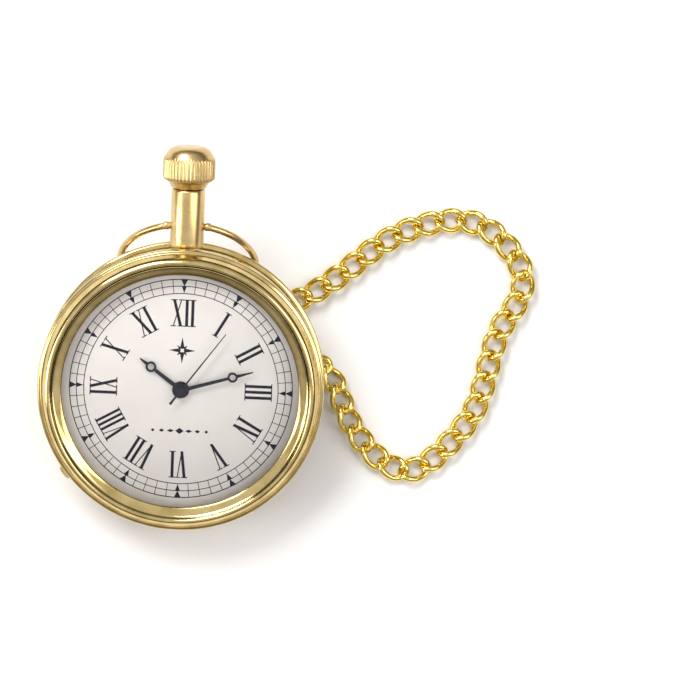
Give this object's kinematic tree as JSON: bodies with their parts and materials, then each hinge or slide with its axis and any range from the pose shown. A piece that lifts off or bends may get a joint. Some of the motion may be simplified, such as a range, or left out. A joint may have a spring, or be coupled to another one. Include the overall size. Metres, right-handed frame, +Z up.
{
  "type": "open face pocket watch",
  "caption": "Open face pocket watch with domed crystal, Roman dial, sweep second hand, knurled crown, folded bow and curb chain, hand-wound movement inside.",
  "frame": {"origin": "centre of the bounding box of the watch without its chain, on the table it lies on", "axes": "+Z up from the table; +Y towards the crown and twelve o'clock; +X towards three o'clock; the watch lies on its back, tilted 18.8 degrees by its folded bow"},
  "size_m": [0.0868, 0.0662, 0.03],
  "materials": {
    "polished_brass": "polished",
    "satin_brass": "brushed satin",
    "gold_chain": "polished",
    "crystal_glass": "clear",
    "dial_cream": "satin lacquer",
    "blued_hands": "gloss",
    "nickel_plate": "fine grained",
    "movement_brass": "gilt",
    "steel": "polished",
    "blue_steel": "blued",
    "ruby": "polished",
    "seal_rubber": "matte",
    "ring_plastic": "matte"
  },
  "bodies": {
    "bow_and_chain": {"bow": "satin_brass", "jump_ring": "gold_chain", "chain_links": "gold_chain", "clasp_body": "gold_chain"},
    "clasp_gate": {"clasp_lever": "gold_chain"},
    "case": {"case_band": "polished_brass", "bezel": "polished_brass", "crystal": "crystal_glass", "crystal_gasket": "seal_rubber", "back_cover": "polished_brass", "pendant": "satin_brass", "pendant_sleeve": "satin_brass", "dial": "dial_cream", "movement_ring": "ring_plastic", "case_clamps": "steel", "case_screws": "blue_steel", "mainplate": "nickel_plate", "barrel_bridge": "nickel_plate", "train_bridge": "nickel_plate", "pallet_bridge": "nickel_plate", "balance_cock": "nickel_plate", "regulator": "steel", "jewels": "ruby", "bridge_screws": "blue_steel", "crown_wheel_core": "steel", "click_screw": "blue_steel", "click_spring": "blue_steel", "dial_side_posts": "steel", "yoke_spring": "blue_steel", "hairspring": "blue_steel"},
    "seconds": {"fourth_wheel": "movement_brass", "second_hand": "blued_hands"},
    "third": {"third_wheel": "movement_brass"},
    "minutes": {"centre_wheel": "movement_brass", "cannon_pinion": "steel", "minute_hand": "blued_hands"},
    "hours": {"hour_wheel": "movement_brass", "hour_hand": "blued_hands"},
    "minute_work": {"minute_wheel": "movement_brass"},
    "setting_work": {"setting_wheel": "movement_brass"},
    "escape": {"escape_wheel": "steel"},
    "barrel": {"barrel_drum": "movement_brass", "barrel_cover": "movement_brass", "mainspring": "blue_steel"},
    "pallets": {"pallet_fork": "steel", "pallet_stones": "ruby"},
    "balance": {"balance_wheel": "movement_brass"},
    "winding": {"winding_pinion": "steel"},
    "crown_and_stem": {"crown": "satin_brass", "crown_gasket": "seal_rubber", "winding_stem": "steel"},
    "clutch": {"sliding_clutch": "steel"},
    "lever": {"setting_lever": "steel"},
    "yoke": {"yoke": "steel"},
    "crown_gear": {"crown_wheel": "steel"},
    "ratchet": {"ratchet_wheel": "steel", "ratchet_screw": "blue_steel", "barrel_arbor": "steel"},
    "pawl": {"click": "steel"}
  },
  "joints": [
    {"name": "case_on_bow", "type": "hinge", "parent": "bow_and_chain", "child": "case", "pos_m": [0, 0.019, 0.02187], "axis": [-1, 0, 0], "range_deg": [0, 200]},
    {"name": "clasp_gate", "type": "hinge", "parent": "bow_and_chain", "child": "clasp_gate", "pos_m": [0.01131, -0.00317, 0.00175], "axis": [0, 0, 1], "range_deg": [0, 24]},
    {"name": "second_hand_turn", "type": "hinge", "parent": "case", "child": "seconds", "pos_m": [0, -0.00679, 0.0095], "axis": [0, 0.3221, -0.9467], "continuous": true},
    {"name": "third_wheel_turn", "type": "hinge", "parent": "case", "child": "third", "pos_m": [0.00546, -0.00996, 0.00906], "axis": [0, 0.3221, -0.9467], "continuous": true},
    {"name": "minute_hand_turn", "type": "hinge", "parent": "case", "child": "minutes", "pos_m": [0, -0.0073, 0.01102], "axis": [0, 0.3221, -0.9467], "continuous": true},
    {"name": "hour_hand_turn", "type": "hinge", "parent": "case", "child": "hours", "pos_m": [0, -0.00846, 0.01443], "axis": [0, 0.3221, -0.9467], "continuous": true},
    {"name": "minute_wheel_turn", "type": "hinge", "parent": "case", "child": "minute_work", "pos_m": [0, -0.00545, 0.01487], "axis": [0, 0.3221, -0.9467], "continuous": true},
    {"name": "setting_wheel_turn", "type": "hinge", "parent": "case", "child": "setting_work", "pos_m": [0, -0.00083, 0.01644], "axis": [0, 0.3221, -0.9467], "continuous": true},
    {"name": "escape_wheel_turn", "type": "hinge", "parent": "case", "child": "escape", "pos_m": [-0.00215, -0.01275, 0.00864], "axis": [0, 0.3221, -0.9467], "continuous": true},
    {"name": "barrel_turn", "type": "hinge", "parent": "case", "child": "barrel", "pos_m": [-0.0079, -0.00318, 0.01305], "axis": [0, 0.3221, -0.9467], "continuous": true},
    {"name": "balance_swing", "type": "hinge", "parent": "case", "child": "balance", "pos_m": [-0.00797, -0.01628, 0.00638], "axis": [0, -0.3221, 0.9467], "range_deg": [-150, 150]},
    {"name": "pallet_swing", "type": "hinge", "parent": "case", "child": "pallets", "pos_m": [-0.00457, -0.01433, 0.00805], "axis": [0, 0.3221, -0.9467], "range_deg": [-5, 5]},
    {"name": "crown_turn", "type": "hinge", "parent": "case", "child": "winding", "pos_m": [0, 0.00594, 0.01742], "axis": [0, 0.9467, 0.3221], "continuous": true},
    {"name": "crown_pull", "type": "slide", "parent": "winding", "child": "crown_and_stem", "axis": [0, 0.9467, 0.3221], "range_m": [0, 0.0012]},
    {"name": "clutch_slide", "type": "slide", "parent": "winding", "child": "clutch", "axis": [0, -0.9467, -0.3221], "range_m": [0, 0.0008]},
    {"name": "setting_lever_swing", "type": "hinge", "parent": "case", "child": "lever", "pos_m": [0.0033, 0.00612, 0.01875], "axis": [0, 0.3221, -0.9467], "range_deg": [0, 20]},
    {"name": "yoke_swing", "type": "hinge", "parent": "case", "child": "yoke", "pos_m": [-0.0034, 0.00584, 0.01866], "axis": [0, 0.3221, -0.9467], "range_deg": [0, 15.8]},
    {"name": "crown_wheel_turn", "type": "hinge", "parent": "case", "child": "crown_gear", "pos_m": [0, 0.00252, 0.0132], "axis": [0, 0.3221, -0.9467], "continuous": true},
    {"name": "ratchet_turn", "type": "hinge", "parent": "case", "child": "ratchet", "pos_m": [-0.0079, -0.00263, 0.01145], "axis": [0, 0.3221, -0.9467], "continuous": true},
    {"name": "click_swing", "type": "hinge", "parent": "case", "child": "pawl", "pos_m": [-0.01443, -0.00353, 0.01124], "axis": [0, -0.3221, 0.9467], "range_deg": [0, 8]}
  ],
  "couplings": [
    {"joint": "third_wheel_turn", "follows": "second_hand_turn", "ratio": -0.13333},
    {"joint": "minute_hand_turn", "follows": "second_hand_turn", "ratio": 0.016667},
    {"joint": "hour_hand_turn", "follows": "second_hand_turn", "ratio": 0.0013889},
    {"joint": "minute_wheel_turn", "follows": "second_hand_turn", "ratio": -0.0055556},
    {"joint": "setting_wheel_turn", "follows": "second_hand_turn", "ratio": 0.0047619},
    {"joint": "escape_wheel_turn", "follows": "second_hand_turn", "ratio": -10},
    {"joint": "barrel_turn", "follows": "second_hand_turn", "ratio": -0.002381},
    {"joint": "pallet_swing", "follows": "balance_swing", "ratio": 0.033333},
    {"joint": "crown_wheel_turn", "follows": "crown_turn", "ratio": -0.78261},
    {"joint": "ratchet_turn", "follows": "crown_turn", "ratio": 0.72},
    {"joint": "clutch_slide", "follows": "crown_pull", "ratio": 0.66667},
    {"joint": "setting_lever_swing", "follows": "crown_pull", "rad_per_m": 289.43},
    {"joint": "yoke_swing", "follows": "crown_pull", "rad_per_m": 228.65}
  ]
}
